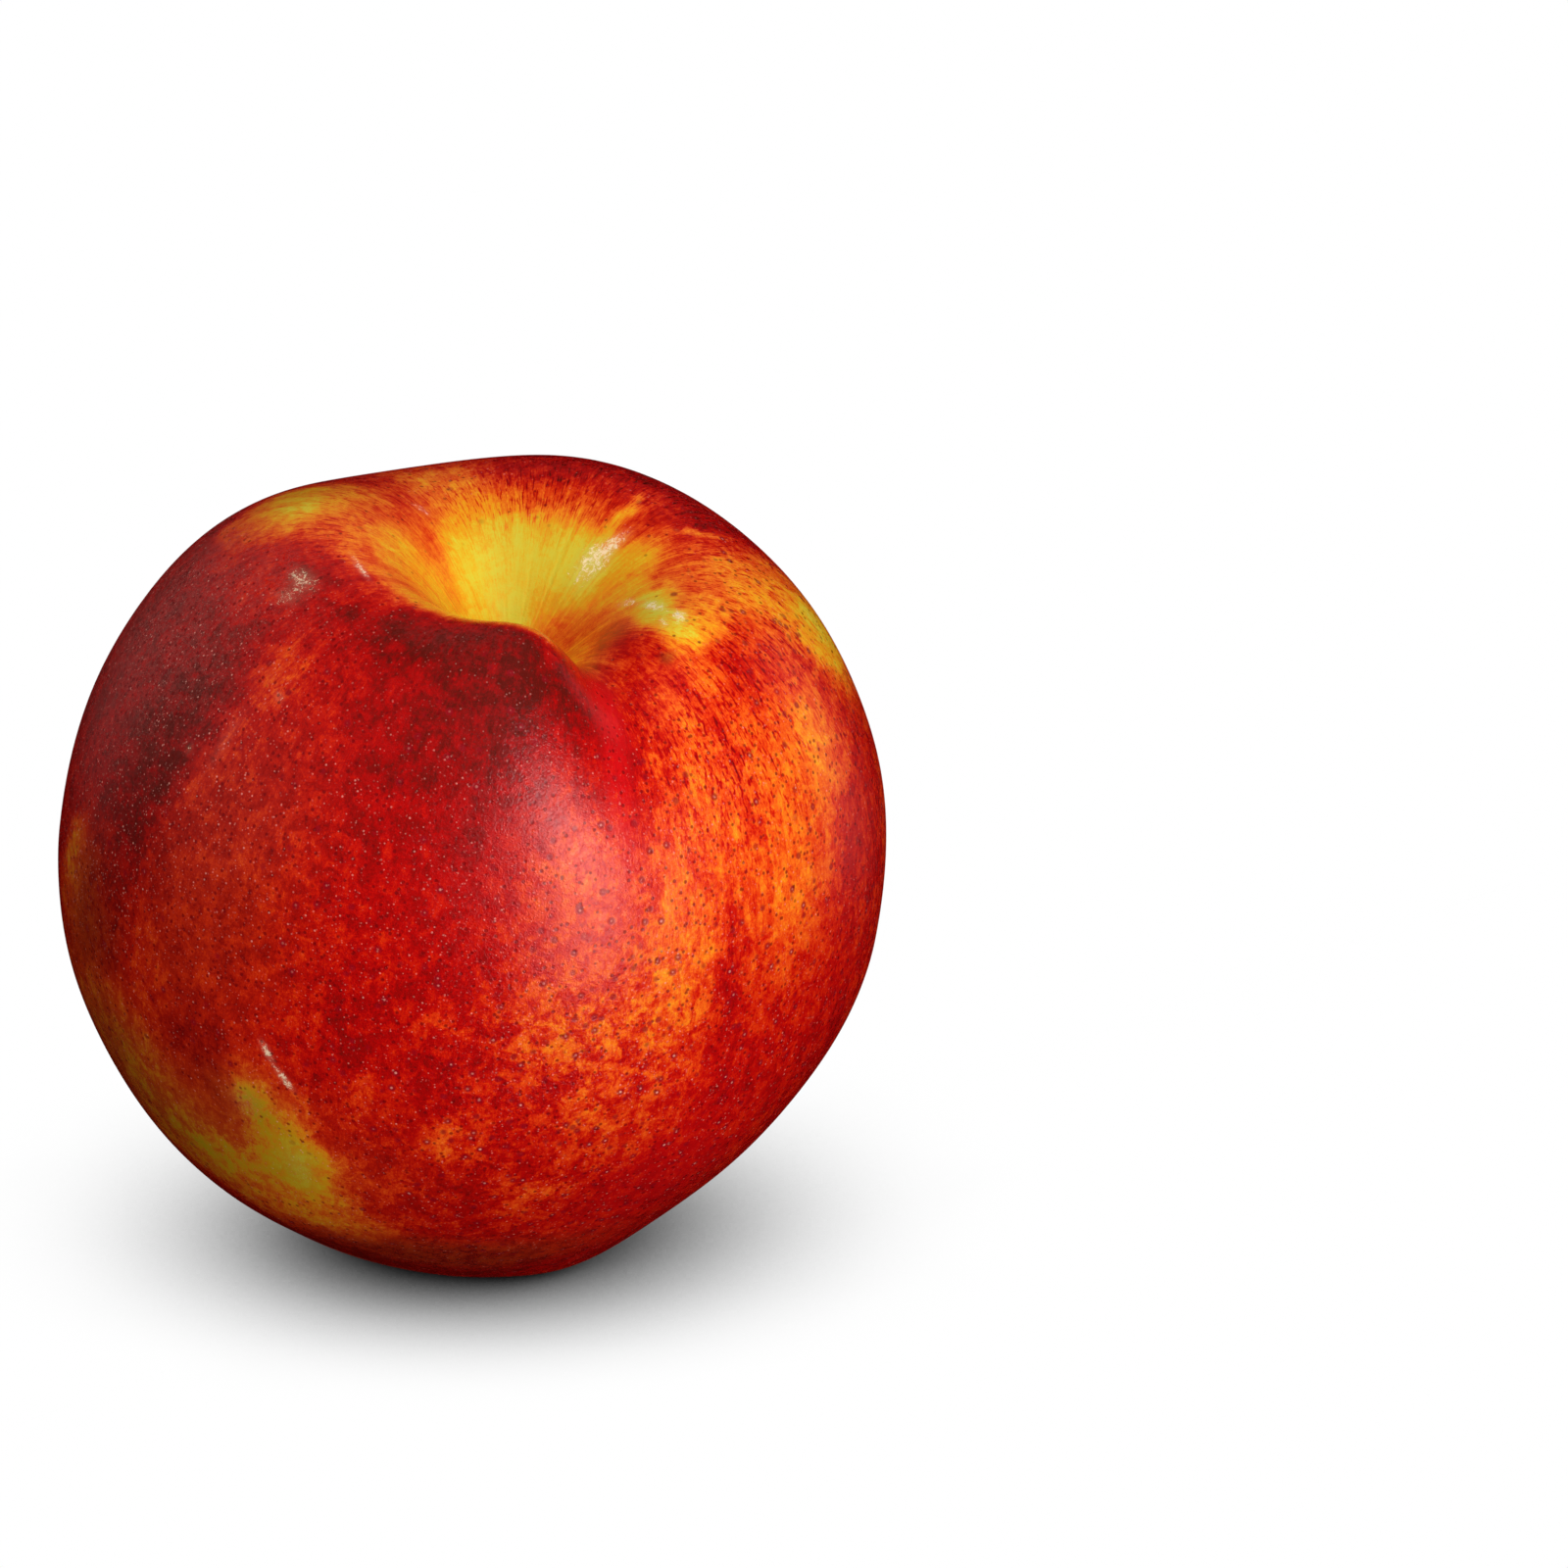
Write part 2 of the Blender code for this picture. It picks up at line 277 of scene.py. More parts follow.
# How far the red blush has grown over the ground: 0 yellow, 0.5 orange, 0.75 red, 1 maroon. The
# darkest patches at the bottom front are painted shade, not blush.
BASE_BLUSH = 0.74
BLUSH_AND_SHADE_PATCHES = (
    # back and far side, with the ground showing on the right and around the tip
    (150, 85, 50, 45, 0, 0.80, 0.9),
    (-160, 80, 35, 40, 0, 0.88, 0.9),
    (82, 88, 24, 40, 0, 0.40, 0.95),
    (178, 122, 25, 20, 0, 0.54, 0.7),
    (60, 125, 22, 16, 0, 0.52, 0.7),
    (0, 180, 26, 26, 0, 0.32, 0.85),
    # maroon shoulder on the left, darkest along its right edge
    (-108, 56, 27, 24, 0, 0.84, 1.0),
    (-88, 60, 9, 22, 0, 0.94, 0.9),
    (-88, 88, 10, 16, 0, 0.84, 0.85),
    # khaki at the left outline
    (-97, 97, 9, 6, 0, 0.66, 0.7),
    (-92, 90, 7, 10, 0, 0.76, 0.7),
    (-100, 87, 5.5, 9, 15, 0.50, 0.75),
    (-101.5, 84.5, 3.0, 5.5, 20, 0.34, 0.8),
    (-106, 93, 3.0, 6, 10, 0.52, 0.7),
    (-97, 104, 8, 5, 0, 0.50, 0.7),
    # the shoulder's top edge
    (-92, 37, 8, 4, 0, 0.62, 0.8),
    # orange band down the left front, then fine orange over red
    (-74.5, 41, 3.5, 9, 6, 0.50, 0.9),
    (-74, 57, 4.5, 10, 0, 0.60, 0.85),
    (-61, 65, 14, 19, 0, 0.74, 0.8),
    (-76, 90, 7, 15, 0, 0.66, 0.75),
    (-52, 80, 8, 14, 0, 0.68, 0.6),
    # deep red front, darker skin low down, and painted shade at the bottom where the fruit meets the
    # floor
    (-60, 34, 14, 7, 0, 0.77, 0.8),
    (-38, 47, 13, 18, 0, 0.88, 0.9),
    (-40, 62, 10, 13, 0, 0.75, 0.8),
    (-62, 96, 8, 7, 0, 0.82, 0.9),
    (-62, 77, 6, 6, 0, 0.80, 0.7),
    (-30, 80, 8, 10, 0, 0.80, 0.7),
    (-34, 44, 7, 7, 0, 0.92, 0.9),
    (-44, 86, 8, 12, 0, 0.78, 0.7),
    (-25, 113, 12, 14, 0, 0.74, 0.8),
    (6, 112, 14, 22, 0, 0.74, 0.8),
    # painted shade: these two patches darken the bottom front, where the fruit meets the floor
    (-20, 141, 32, 8, 0, 0.88, 0.85),
    (-24, 132, 18, 5, 0, 0.84, 0.85),
    (-16, 38, 11, 7, 0, 0.79, 0.8),
    # orange beside the suture, and islands of it low on the front
    (-13, 61, 9, 11, 0, 0.50, 0.8),
    (-12, 79, 12, 8, 0, 0.49, 0.9),
    (2, 72, 7, 20, 0, 0.46, 1.0),
    (-23, 90, 4, 5, 0, 0.70, 0.8),
    (-8, 91, 4.5, 6, 0, 0.54, 0.9),
    (-31, 81, 4.5, 3, 0, 0.62, 0.8),
    (-27.5, 99, 4.5, 4, 0, 0.57, 1.0),
    (-40, 95, 2.5, 5, 0, 0.58, 0.8),
    (-14, 110, 5, 5, 0, 0.55, 0.85),
    (-3, 95, 8, 8, 0, 0.55, 0.8),
    # yellow-green ground low on the left, with orange around it
    (-64, 118, 21, 13, 0, 0.45, 1.0),
    (-80, 107, 11, 8, 20, 0.42, 0.85),
    (-82, 99.5, 6, 5, 0, 0.52, 0.8),
    (-81, 116, 7, 6, 0, 0.42, 0.8),
    (-76, 122.5, 10, 5, 0, 0.42, 0.85),
    (-91, 108, 6, 8, 0, 0.50, 0.8),
    (-61, 127, 14, 3.5, 0, 0.42, 0.8),
    (-49, 111, 6, 11, -12, 0.17, 1.0),
    (-55.5, 101.5, 4.2, 7.5, -12, 0.24, 0.95),
    (-64, 119.5, 9, 4.5, 0, 0.28, 0.85),
    (-45, 125, 9, 5, 0, 0.40, 0.9),
    # right of the suture: streaky orange and yellow
    (11, 44, 5, 18, 0, 0.46, 1.0),
    (24, 62, 13, 18, 0, 0.42, 0.9),
    (3, 52, 2.5, 18, 0, 0.52, 0.8),
    (24, 36, 4, 12, 0, 0.42, 0.9),
    (40, 50, 8, 10, 0, 0.34, 0.9),
    (40, 28, 5, 4, 0, 0.38, 0.8),
    (22, 39, 5, 4, 0, 0.60, 0.85),
    (24, 26.5, 4, 3.5, 0, 0.62, 0.85),
    (46, 26, 3, 3, 0, 0.34, 0.8),
    (57, 20, 3, 3, 0, 0.36, 0.8),
    (64, 33, 12, 12, 0, 0.33, 0.95),
    (69, 46, 9, 8, 0, 0.14, 1.0),
    (38, 36, 5, 6, 0, 0.62, 0.8),
    (37, 27.6, 3, 3, 0, 0.30, 0.8),
    (18, 28, 4, 5, 0, 0.72, 0.9),
    # back rim: dark red outside, then red feathering down towards the yellow
    (125, 30, 13, 5, 0, 0.82, 0.95),
    (150, 29, 9, 4.5, 0, 0.76, 0.95),
    (130, 23, 12, 4, 0, 0.70, 0.95),
    (134, 18.3, 9, 3.8, 0, 0.62, 0.95),
    (131, 14.6, 5, 2.2, 0, 0.52, 0.85),
    (104, 20, 4, 3, 0, 0.66, 0.85),
    (-178, 25, 5, 3, 0, 0.40, 0.8),
    (-167, 32, 9, 5, 0, 0.62, 0.9),
    (165, 20.6, 6, 4.0, 0, 0.43, 0.9),
    (178, 27, 6, 7, 0, 0.36, 0.95),
    (93, 32, 5, 9, 0, 0.84, 1.0),
    (98, 23, 3, 3.5, 0, 0.72, 0.9),
    (86, 18, 3.5, 3, 0, 0.40, 0.9),
    (111.2, 19.7, 0.8, 5.0, 4, 0.26, 0.9),
    (87, 25, 1.0, 8, 2, 0.34, 0.8),
    # left shoulder of the cavity: a patch of yellow ground, then peach
    (-132, 31, 10, 7.5, 0, 0.17, 1.0),
    (-150, 27, 7, 6, 0, 0.34, 0.8),
    (-126, 39, 8, 3.5, 0, 0.50, 0.9),
    (-112, 24, 8, 4, 0, 0.50, 0.9),
    (-85, 26, 8, 3, 0, 0.72, 0.9),
    # maroon under the lip
    (-68, 29, 9, 5, 0, 0.84, 0.9),
    (-46, 29, 12, 5.5, 0, 0.97, 0.95),
    (-24, 34, 9, 8, 0, 0.97, 0.9),
    (-5, 30, 4, 5, 0, 0.80, 0.8),
    # stalk cavity: yellow, peach on its left wall, with a red band and a fan of red hairs
    (0, 0, 15, 15, 0, 0.10, 1.0),
    (122, 11, 11, 5.5, 0, 0.01, 1.0),
    (178, 13, 6, 6.5, 0, 0.06, 0.9),
    (-122, 16, 9, 6, 0, 0.23, 0.9),
    (-58, 18.5, 15, 3, 0, 0.26, 1.0),
    (-161, 18.5, 2.2, 8, 23, 0.50, 0.95),
    (85, 6.5, 6, 2.8, 0, 0.52, 0.9),
    (68, 15, 3, 2.5, 0, 0.44, 0.8),
    (30, 15.5, 3.0, 8, 41, 0.70, 0.9),
    (60, 10.5, 2.5, 4, 50, 0.50, 0.8),
    (46, 18, 2.8, 9, 44, 0.02, 1.0),
    (31, 26, 2.6, 4.5, 48, 0.10, 0.95),
    (74, 14, 4, 2.5, 0, 0.26, 0.8),
)

# How much cloudy mottling breaks up the colour.
BASE_MOTTLE = 0.50
MOTTLE_PATCHES = (
    (-62, 66, 20, 26, 0, 0.60, 1.0),
    (-10, 84, 16, 14, 0, 1.00, 1.0),
    (-20, 108, 24, 18, 0, 0.70, 0.9),
    (-38, 50, 12, 18, 0, 0.40, 0.9),
    (-66, 116, 26, 14, 0, 0.55, 1.0),
    (0, 0, 20, 20, 0, 0.35, 1.0),
    (120, 100, 60, 40, 0, 0.80, 0.8),
)

# How much the colour runs in streaks down the meridians.
BASE_STREAK = 0.15
STREAK_PATCHES = (
    (0, 0, 46, 46, 0, 0.70, 1.0),
    (-55, 38, 22, 16, 0, 0.25, 0.9),
    (10, 60, 14, 30, 0, 0.90, 1.0),
    (-76, 56, 6, 24, 0, 0.70, 0.9),
    (-78, 90, 8, 18, 0, 0.60, 0.9),
    (-46, 82, 8, 14, 0, 0.50, 0.8),
    (-60, 112, 20, 12, 0, 0.45, 0.8),
    (80, 80, 30, 40, 0, 0.80, 0.8),
    (0, 0, 12, 12, 0, 0.40, 1.0),
    (140, 20, 14, 5, 0, 0.90, 0.9),
    (35, 15, 12, 7, 0, 1.00, 1.0),
)

# Where short red dashes lie over the ground.
BASE_DASH = 0.0
DASH_PATCHES = (
    (60, 34, 22, 16, 0, 1.00, 1.0),
    (20, 45, 14, 16, 0, 0.90, 1.0),
    (150, 20, 22, 7, 0, 0.90, 1.0),
    (-130, 26, 20, 9, 0, 0.70, 1.0),
    (75, 75, 28, 35, 0, 0.70, 0.9),
)

# Large pores with a dark ring, dark specks, small pale pores, and the dull bloom, which is partly
# painted sheen.
BASE_LARGE_PORE = 0.30
LARGE_PORE_PATCHES = (
    (-8, 92, 34, 36, 0, 0.75, 1.0),
    (120, 100, 60, 40, 0, 0.70, 0.9),
    (-85, 58, 24, 30, 0, 0.10, 0.9),
    (-58, 114, 22, 15, 0, 0.00, 1.0),
    (0, 0, 28, 28, 0, 0.00, 1.0),
    (-132, 31, 14, 9, 0, 0.00, 1.0),
    (62, 32, 20, 12, 0, 0.35, 0.9),
)
BASE_SPECK = 0.75
SPECK_PATCHES = (
    (-62, 114, 24, 14, 0, 0.00, 0.95),
    (-132, 31, 14, 9, 0, 0.00, 1.0),
    (0, 0, 32, 32, 0, 0.00, 1.0),
)
BASE_SMALL_PORE = 0.55
SMALL_PORE_PATCHES = (
    (-98, 58, 26, 36, 0, 1.00, 1.0),
    (-40, 38, 28, 14, 0, 0.42, 0.9),
    (-170, 80, 40, 45, 0, 0.80, 0.9),
    (-132, 31, 14, 9, 0, 0.00, 1.0),
    (0, 0, 26, 26, 0, 0.00, 1.0),
)
# bloom, partly painted sheen: a pale haze on the left shoulder and at the lip
BASE_BLOOM_AND_SHEEN = 0.0
BLOOM_AND_SHEEN_PATCHES = (
    (-110, 50, 20, 22, 0, 1.00, 1.0),
    (-136, 31, 13, 8, 0, 0.00, 1.0),
    (-45, 28, 10, 4, 0, 0.35, 0.8),
    (-165, 75, 30, 30, 0, 0.60, 0.8),
)

# Bright crimson along the suture, green in the ground colour (with olive-brown painted shade at the
# bottom front), and pale corky scuffs, with painted glints in the stalk cavity.
BASE_CRIMSON = 0.0
CRIMSON_PATCHES = (
    (-4, 31, 2.4, 11, 0, 1.00, 1.0),
    (-6, 46, 2.0, 12, 0, 0.80, 0.9),
    (8, 110, 12, 16, 0, 0.40, 0.8),
)
BASE_GREEN = 0.0
GREEN_AND_SHADE_PATCHES = (
    (-74, 114, 30, 15, 0, 0.90, 1.0),
    (-94, 89, 10, 12, 0, 1.00, 0.9),
    (-68, 76, 14, 24, 0, 0.40, 0.9),
    (-57, 102, 6, 6, 0, 1.00, 0.9),
    (-86, 108, 8, 10, 0, 1.00, 0.8),
    # painted shade: olive-brown darkening of the bottom front, where the fruit meets the floor
    (-26, 133, 22, 7, 0, 1.00, 0.9),
    (-142, 33, 8, 5, 0, 0.30, 1.0),
    (130, 12, 16, 8, 0, 0.45, 0.9),
    (45, 18, 4.0, 9, 44, 0.30, 0.9),
    (20, 27, 1.0, 1.2, 0, 1.00, 1.0),
)
BASE_SCUFF_AND_GLINT = 0.0
SCUFF_AND_GLINT_PATCHES = (
    (-94, 31.5, 3.4, 2.2, 0, 0.82, 1.0),
    (-91, 34.5, 2.4, 1.6, -20, 0.70, 1.0),
    (-94, 23.3, 3.4, 0.7, 0, 1.00, 1.0),
    # painted glints: this patch and the five below it are pale highlights on the stalk cavity's walls
    (46, 18, 1.1, 3.2, 41, 1.00, 1.0),
    (58, 14, 0.8, 2.0, 45, 0.90, 1.0),
    (33, 21.5, 0.7, 2.0, 50, 0.80, 1.0),
    (107, 13.0, 2.6, 3.0, 15, 0.95, 1.0),
    (104, 15.5, 1.2, 3.0, 10, 0.95, 1.0),
    (38, 23, 1.2, 2.2, 50, 1.00, 1.0),
    (-167, 21, 0.8, 1.6, -20, 0.70, 1.0),
    (-76.5, 54, 1.2, 5.0, 0, 0.45, 1.0),
    (-72, 45.2, 1.2, 0.8, 20, 0.70, 1.0),
    (-82, 57.6, 0.8, 1.0, 0, 0.66, 1.0),
    (-54, 91.5, 0.7, 1.9, -35, 1.20, 1.0),
    (-51, 95, 0.7, 2.4, -45, 1.20, 1.0),
    (-57, 102, 3.0, 3.5, 0, 0.42, 1.0),
    (-49, 112, 3.0, 5.0, -12, 0.40, 1.0),
)


def on_patch(directions, azimuth, polar, half_width, half_length, turn):
    """How far each direction is inside a patch: 1 at its middle, 0 well outside."""
    around = math.radians(azimuth)
    down = math.radians(polar)
    middle = (math.sin(down) * math.cos(around), math.sin(down) * math.sin(around), math.cos(down))
    east = (-math.sin(around), math.cos(around), 0.0)
    south = (math.cos(down) * math.cos(around), math.cos(down) * math.sin(around), -math.sin(down))
    forward, across, along = np.stack([middle, east, south]) @ directions.T
    angle = np.arccos(np.clip(forward, -1.0, 1.0))
    stretch = np.degrees(angle) / np.maximum(np.sin(angle), SMALLEST_SINE)
    slant = math.radians(turn)
    turned_across = (across * math.cos(slant) + along * math.sin(slant)) * stretch
    turned_along = (along * math.cos(slant) - across * math.sin(slant)) * stretch
    distance = np.hypot(turned_across / half_width, turned_along / half_length)
    return np.exp(-(distance ** PATCH_EDGE))


def painted(directions, base, patches):
    """A map of the skin: a base value with soft patches laid over it in turn."""
    value = np.full(len(directions), base)
    for azimuth, polar, half_width, half_length, turn, target, strength in patches:
        share = strength * on_patch(directions, azimuth, polar, half_width, half_length, turn)
        value += (target - value) * share
    return value


def wavering(directions, random):
    """Shift each direction a little, so that the edges of the patches aren't smooth."""
    shifted = directions.copy()
    for _ in range(WAVER_WAVES):
        along = random.normal(size=3)
        along /= np.linalg.norm(along)
        shift = random.normal(size=3)
        wavelength = math.radians(random.uniform(*WAVER_LENGTHS))
        phase = random.uniform(0.0, 2.0 * math.pi)
        wave = np.sin(directions @ along * 2.0 * math.pi / wavelength + phase)
        shifted += WAVER_SHARE * wavelength * wave[:, None] * shift
    return shifted / np.linalg.norm(shifted, axis=1, keepdims=True)


# ---------------------------------------------------------------------------
# The fruit's mesh
# ---------------------------------------------------------------------------

SEGMENTS = 400
RINGS = 248
RING_CROWDING = 1.2
SMALLEST_POLAR = 1e-6
FLAT_ROUNDING = 0.5 * MM


def resting_rotation():
    """Turn the suture to its side, then lean the stalk end over."""
    lean_axis = Vector((-math.sin(LEAN_TOWARDS), math.cos(LEAN_TOWARDS), 0.0))
    turn = Matrix.Rotation(TURN_ABOUT_STALK_AXIS, 4, "Z")
    return Matrix.Rotation(LEAN, 4, lean_axis) @ turn


def sphere_angles(mesh):
    """Return each vertex's polar angle and azimuth, with the rings crowded at the stalk end."""
    unit = np.empty(len(mesh.vertices) * 3)
    mesh.vertices.foreach_get("co", unit)
    unit = unit.reshape(-1, 3)
    share = np.arccos(np.clip(unit[:, 2] / np.linalg.norm(unit, axis=1), -1.0, 1.0)) / math.pi
    polar = np.clip(math.pi * share ** RING_CROWDING, SMALLEST_POLAR, math.pi - SMALLEST_POLAR)
    return polar, np.arctan2(unit[:, 1], unit[:, 0])


def settle(points, cad_box):
    """Move the turned points into the CAD box, softly flat below. Return the fruit's origin."""
    lowest, highest = cad_box
    origin = Vector((
        (lowest.x + highest.x - points[:, 0].min() - points[:, 0].max()) / 2.0,
        (lowest.y + highest.y - points[:, 1].min() - points[:, 1].max()) / 2.0,
        highest.z - points[:, 2].max(),
    ))
    height = points[:, 2] + origin.z
    points[:, 2] = FLAT_ROUNDING * np.logaddexp(0.0, height / FLAT_ROUNDING)
    points[:, 2] -= points[:, 2].min()
    points[:, 0] += origin.x
    points[:, 1] += origin.y
    return origin


def add_attribute(mesh, name, values):
    """Store one number or one vector for each vertex."""
    single = values.ndim == 1
    attribute = mesh.attributes.new(name, "FLOAT" if single else "FLOAT_VECTOR", "POINT")
    flat = np.ascontiguousarray(values, dtype=np.float32).ravel()
    attribute.data.foreach_set("value" if single else "vector", flat)


def paint(mesh, polar, azimuth, random):
    """Store the painted maps that the skin material reads."""
    around = np.stack([np.cos(azimuth), np.sin(azimuth)], axis=1)
    directions = np.column_stack([np.sin(polar)[:, None] * around, np.cos(polar)])
    wavy = wavering(directions, random)
    add_attribute(mesh, "meridian", np.column_stack([around, polar * MAX_RADIUS / MM]))
    add_attribute(mesh, "blush_and_shade", painted(wavy, BASE_BLUSH, BLUSH_AND_SHADE_PATCHES))
    add_attribute(mesh, "pattern", np.column_stack([
        painted(directions, BASE_STREAK, STREAK_PATCHES),
        painted(directions, BASE_MOTTLE, MOTTLE_PATCHES),
        painted(directions, BASE_DASH, DASH_PATCHES),
    ]))
    add_attribute(mesh, "pores", np.column_stack([
        painted(directions, BASE_LARGE_PORE, LARGE_PORE_PATCHES),
        painted(directions, BASE_SMALL_PORE, SMALL_PORE_PATCHES),
        painted(directions, BASE_SPECK, SPECK_PATCHES),
    ]))
    add_attribute(mesh, "tints", np.column_stack([
        painted(directions, BASE_CRIMSON, CRIMSON_PATCHES),
        painted(wavy, BASE_GREEN, GREEN_AND_SHADE_PATCHES),
        painted(directions, BASE_SCUFF_AND_GLINT, SCUFF_AND_GLINT_PATCHES),
    ]))
    add_attribute(mesh, "bloom_and_sheen", painted(wavy, BASE_BLOOM_AND_SHEEN, BLOOM_AND_SHEEN_PATCHES))
    add_attribute(mesh, "dry", dryness(polar, azimuth))


def make_fruit(cad_box):
    """Build the detailed fruit where the CAD solid rests. Return it and its origin."""
    sphere = bmesh.new()
    bmesh.ops.create_uvsphere(sphere, u_segments=SEGMENTS, v_segments=RINGS, radius=1.0)
    mesh = bpy.data.meshes.new("nectarine_fruit")
    sphere.to_mesh(mesh)
    sphere.free()

    random = np.random.default_rng(SEED)
    polar, azimuth = sphere_angles(mesh)
    places = fruit_surface(polar, azimuth)
    relief = unevenness(places, random) + cavity_creases(polar, azimuth, random)
    relief += stalk_scar(polar, azimuth) + tip_point(polar)
    shaped = places + surface_normals(polar, azimuth) * relief[:, None]
    points = shaped @ np.array(resting_rotation().to_3x3()).T
    origin = settle(points, cad_box)
    mesh.vertices.foreach_set("co", points.ravel())

    add_attribute(mesh, "place", places / MM)
    paint(mesh, polar, azimuth, random)
    mesh.update()
    for polygon in mesh.polygons:
        polygon.use_smooth = True

    fruit = bpy.data.objects.new("nectarine_fruit", mesh)
    bpy.context.scene.collection.objects.link(fruit)
    return fruit, origin


# ---------------------------------------------------------------------------
# Shader nodes
# ---------------------------------------------------------------------------

class Graph:
    """Adds and links shader nodes in few words. Inputs may be numbers, tuples or sockets."""

    def __init__(self, tree):
        self.tree = tree

    def node(self, kind, **settings):
        """Add a node with its settings."""
        made = self.tree.nodes.new(kind)
        for name, value in settings.items():
            setattr(made, name, value)
        return made

    def feed(self, socket, value):
        """Link a socket to another, or set its number, vector or colour."""
        if isinstance(value, bpy.types.NodeSocket):
            self.tree.links.new(value, socket)
        elif socket.type == "RGBA":
            socket.default_value = (*value, 1.0)
        else:
            socket.default_value = value

    def math(self, operation, first, second=0.0, third=0.0):
        """Add one math node."""
        made = self.node("ShaderNodeMath", operation=operation)
        for socket, value in zip(made.inputs, (first, second, third)):
            self.feed(socket, value)
        return made.outputs[0]

    def add(self, *values):
        """Sum any number of values."""
        total = values[0]
        for value in values[1:]:
            total = self.math("ADD", total, value)
        return total

    def times(self, *values):
        """Multiply any number of values."""
        total = values[0]
        for value in values[1:]:
            total = self.math("MULTIPLY", total, value)
        return total

    def stretched(self, vector, factors):
        """Scale a vector along each axis."""
        made = self.node("ShaderNodeVectorMath", operation="MULTIPLY")
        self.feed(made.inputs[0], vector)
        self.feed(made.inputs[1], factors)
        return made.outputs["Vector"]

    def attribute(self, name, output):
        """Read one of the mesh's attributes."""
        return self.node("ShaderNodeAttribute", attribute_name=name).outputs[output]

    def split(self, vector):
        """Return a vector's three numbers."""
        made = self.node("ShaderNodeSeparateXYZ")
        self.feed(made.inputs[0], vector)
        return made.outputs

    def noise(self, vector, scale, detail, roughness, distortion):
        """A noise with values around 0.5."""
        made = self.node("ShaderNodeTexNoise")
        self.feed(made.inputs["Vector"], vector)
        self.feed(made.inputs["Scale"], scale)
        self.feed(made.inputs["Detail"], detail)
        self.feed(made.inputs["Roughness"], roughness)
        self.feed(made.inputs["Distortion"], distortion)
        return made.outputs[0]

    def stretched_noise(self, vector, factors, *noise_settings):
        """A noise that is drawn out along one axis."""
        return self.noise(self.stretched(vector, factors), *noise_settings)

    def ripple(self, value, size):
        """A noise value, centred on 0 and scaled."""
        return self.math("MULTIPLY_ADD", value, size, -0.5 * size)

    def step(self, value, start, end):
        """Go smoothly from 0 at start to 1 at end."""
        made = self.node("ShaderNodeMapRange", interpolation_type="SMOOTHSTEP")
        self.feed(made.inputs["Value"], value)
        self.feed(made.inputs["From Min"], start)
        self.feed(made.inputs["From Max"], end)
        return made.outputs[0]

    def ramp(self, value, stops):
        """Turn a value into a colour, blended between the stops."""
        made = self.node("ShaderNodeValToRGB")
        elements = made.color_ramp.elements
        while len(elements) < len(stops):
            elements.new(1.0)
        for element, (position, colour) in zip(elements, stops):
            element.position = position
            element.color = (*colour, 1.0)
        self.feed(made.inputs[0], value)
        return made.outputs[0]

    def mix(self, share, first, second):
        """Blend two colours."""
        made = self.node("ShaderNodeMix", data_type="RGBA")
        sockets = [socket for socket in made.inputs if socket.type == "RGBA"]
        self.feed(made.inputs["Factor"], share)
        self.feed(sockets[0], first)
        self.feed(sockets[1], second)
        return next(socket for socket in made.outputs if socket.type == "RGBA")

    def finish(self, shader):
        """Make a shader the material's surface."""
        output = self.node("ShaderNodeOutputMaterial")
        self.feed(output.inputs["Surface"], shader)


def new_material(name):
    """Return an empty material and the graph of its nodes."""
    material = bpy.data.materials.new(name)
    material.use_nodes = True
    material.node_tree.nodes.clear()
    return material, Graph(material.node_tree)


# ---------------------------------------------------------------------------
# Skin material. Lengths and scales in it are in mm and per mm.
# ---------------------------------------------------------------------------

# Linear colours of the skin, from bare ground to full blush.
SKIN_COLOURS = (
    (0.00, (0.740, 0.660, 0.050)),
    (0.10, (0.800, 0.560, 0.030)),
    (0.22, (0.860, 0.370, 0.010)),
    (0.34, (0.860, 0.220, 0.009)),
    (0.45, (0.800, 0.110, 0.007)),
    (0.55, (0.700, 0.042, 0.004)),
    (0.65, (0.560, 0.010, 0.002)),
    (0.74, (0.430, 0.002, 0.002)),
    (0.84, (0.290, 0.002, 0.002)),
    (0.93, (0.170, 0.004, 0.003)),
    (1.00, (0.100, 0.005, 0.003)),
)
DRY_DARK = (0.085, 0.046, 0.022)
DRY_LIGHT = (0.330, 0.215, 0.110)
PORE_CENTRE = (0.92, 0.38, 0.30)
PORE_RING = (0.240, 0.003, 0.008)
SPECK_COLOUR = (0.160, 0.002, 0.003)
# the bloom's dull pink, also a painted sheen on the left shoulder
BLOOM_AND_SHEEN_COLOUR = (0.38, 0.085, 0.072)
CRIMSON = (0.60, 0.004, 0.006)
OLIVE = (0.35, 0.235, 0.005)
# olive-brown is also painted shade at the bottom front
OLIVE_BROWN_AND_SHADE = (0.21, 0.055, 0.008)
# the cork's cream also paints glints in the stalk cavity
CORK_AND_GLINT = (0.92, 0.76, 0.50)

# Noises: scale, detail, roughness and distortion.
DRIFT = (0.10, 3.0, 0.55, 0.0)
CLOUDS = (0.55, 8.0, 0.72, 0.5)
FLECKS = (1.9, 5.0, 0.75, 0.6)
GRAIN = (6.5, 2.0, 0.50, 0.0)
BLOOM_AND_SHEEN_CLOUDS = (2.4, 5.0, 0.80, 0.0)
CRUMBS = (1.7, 5.0, 0.90, 0.8)
PEEL = (2.2, 3.0, 0.60, 1.2)

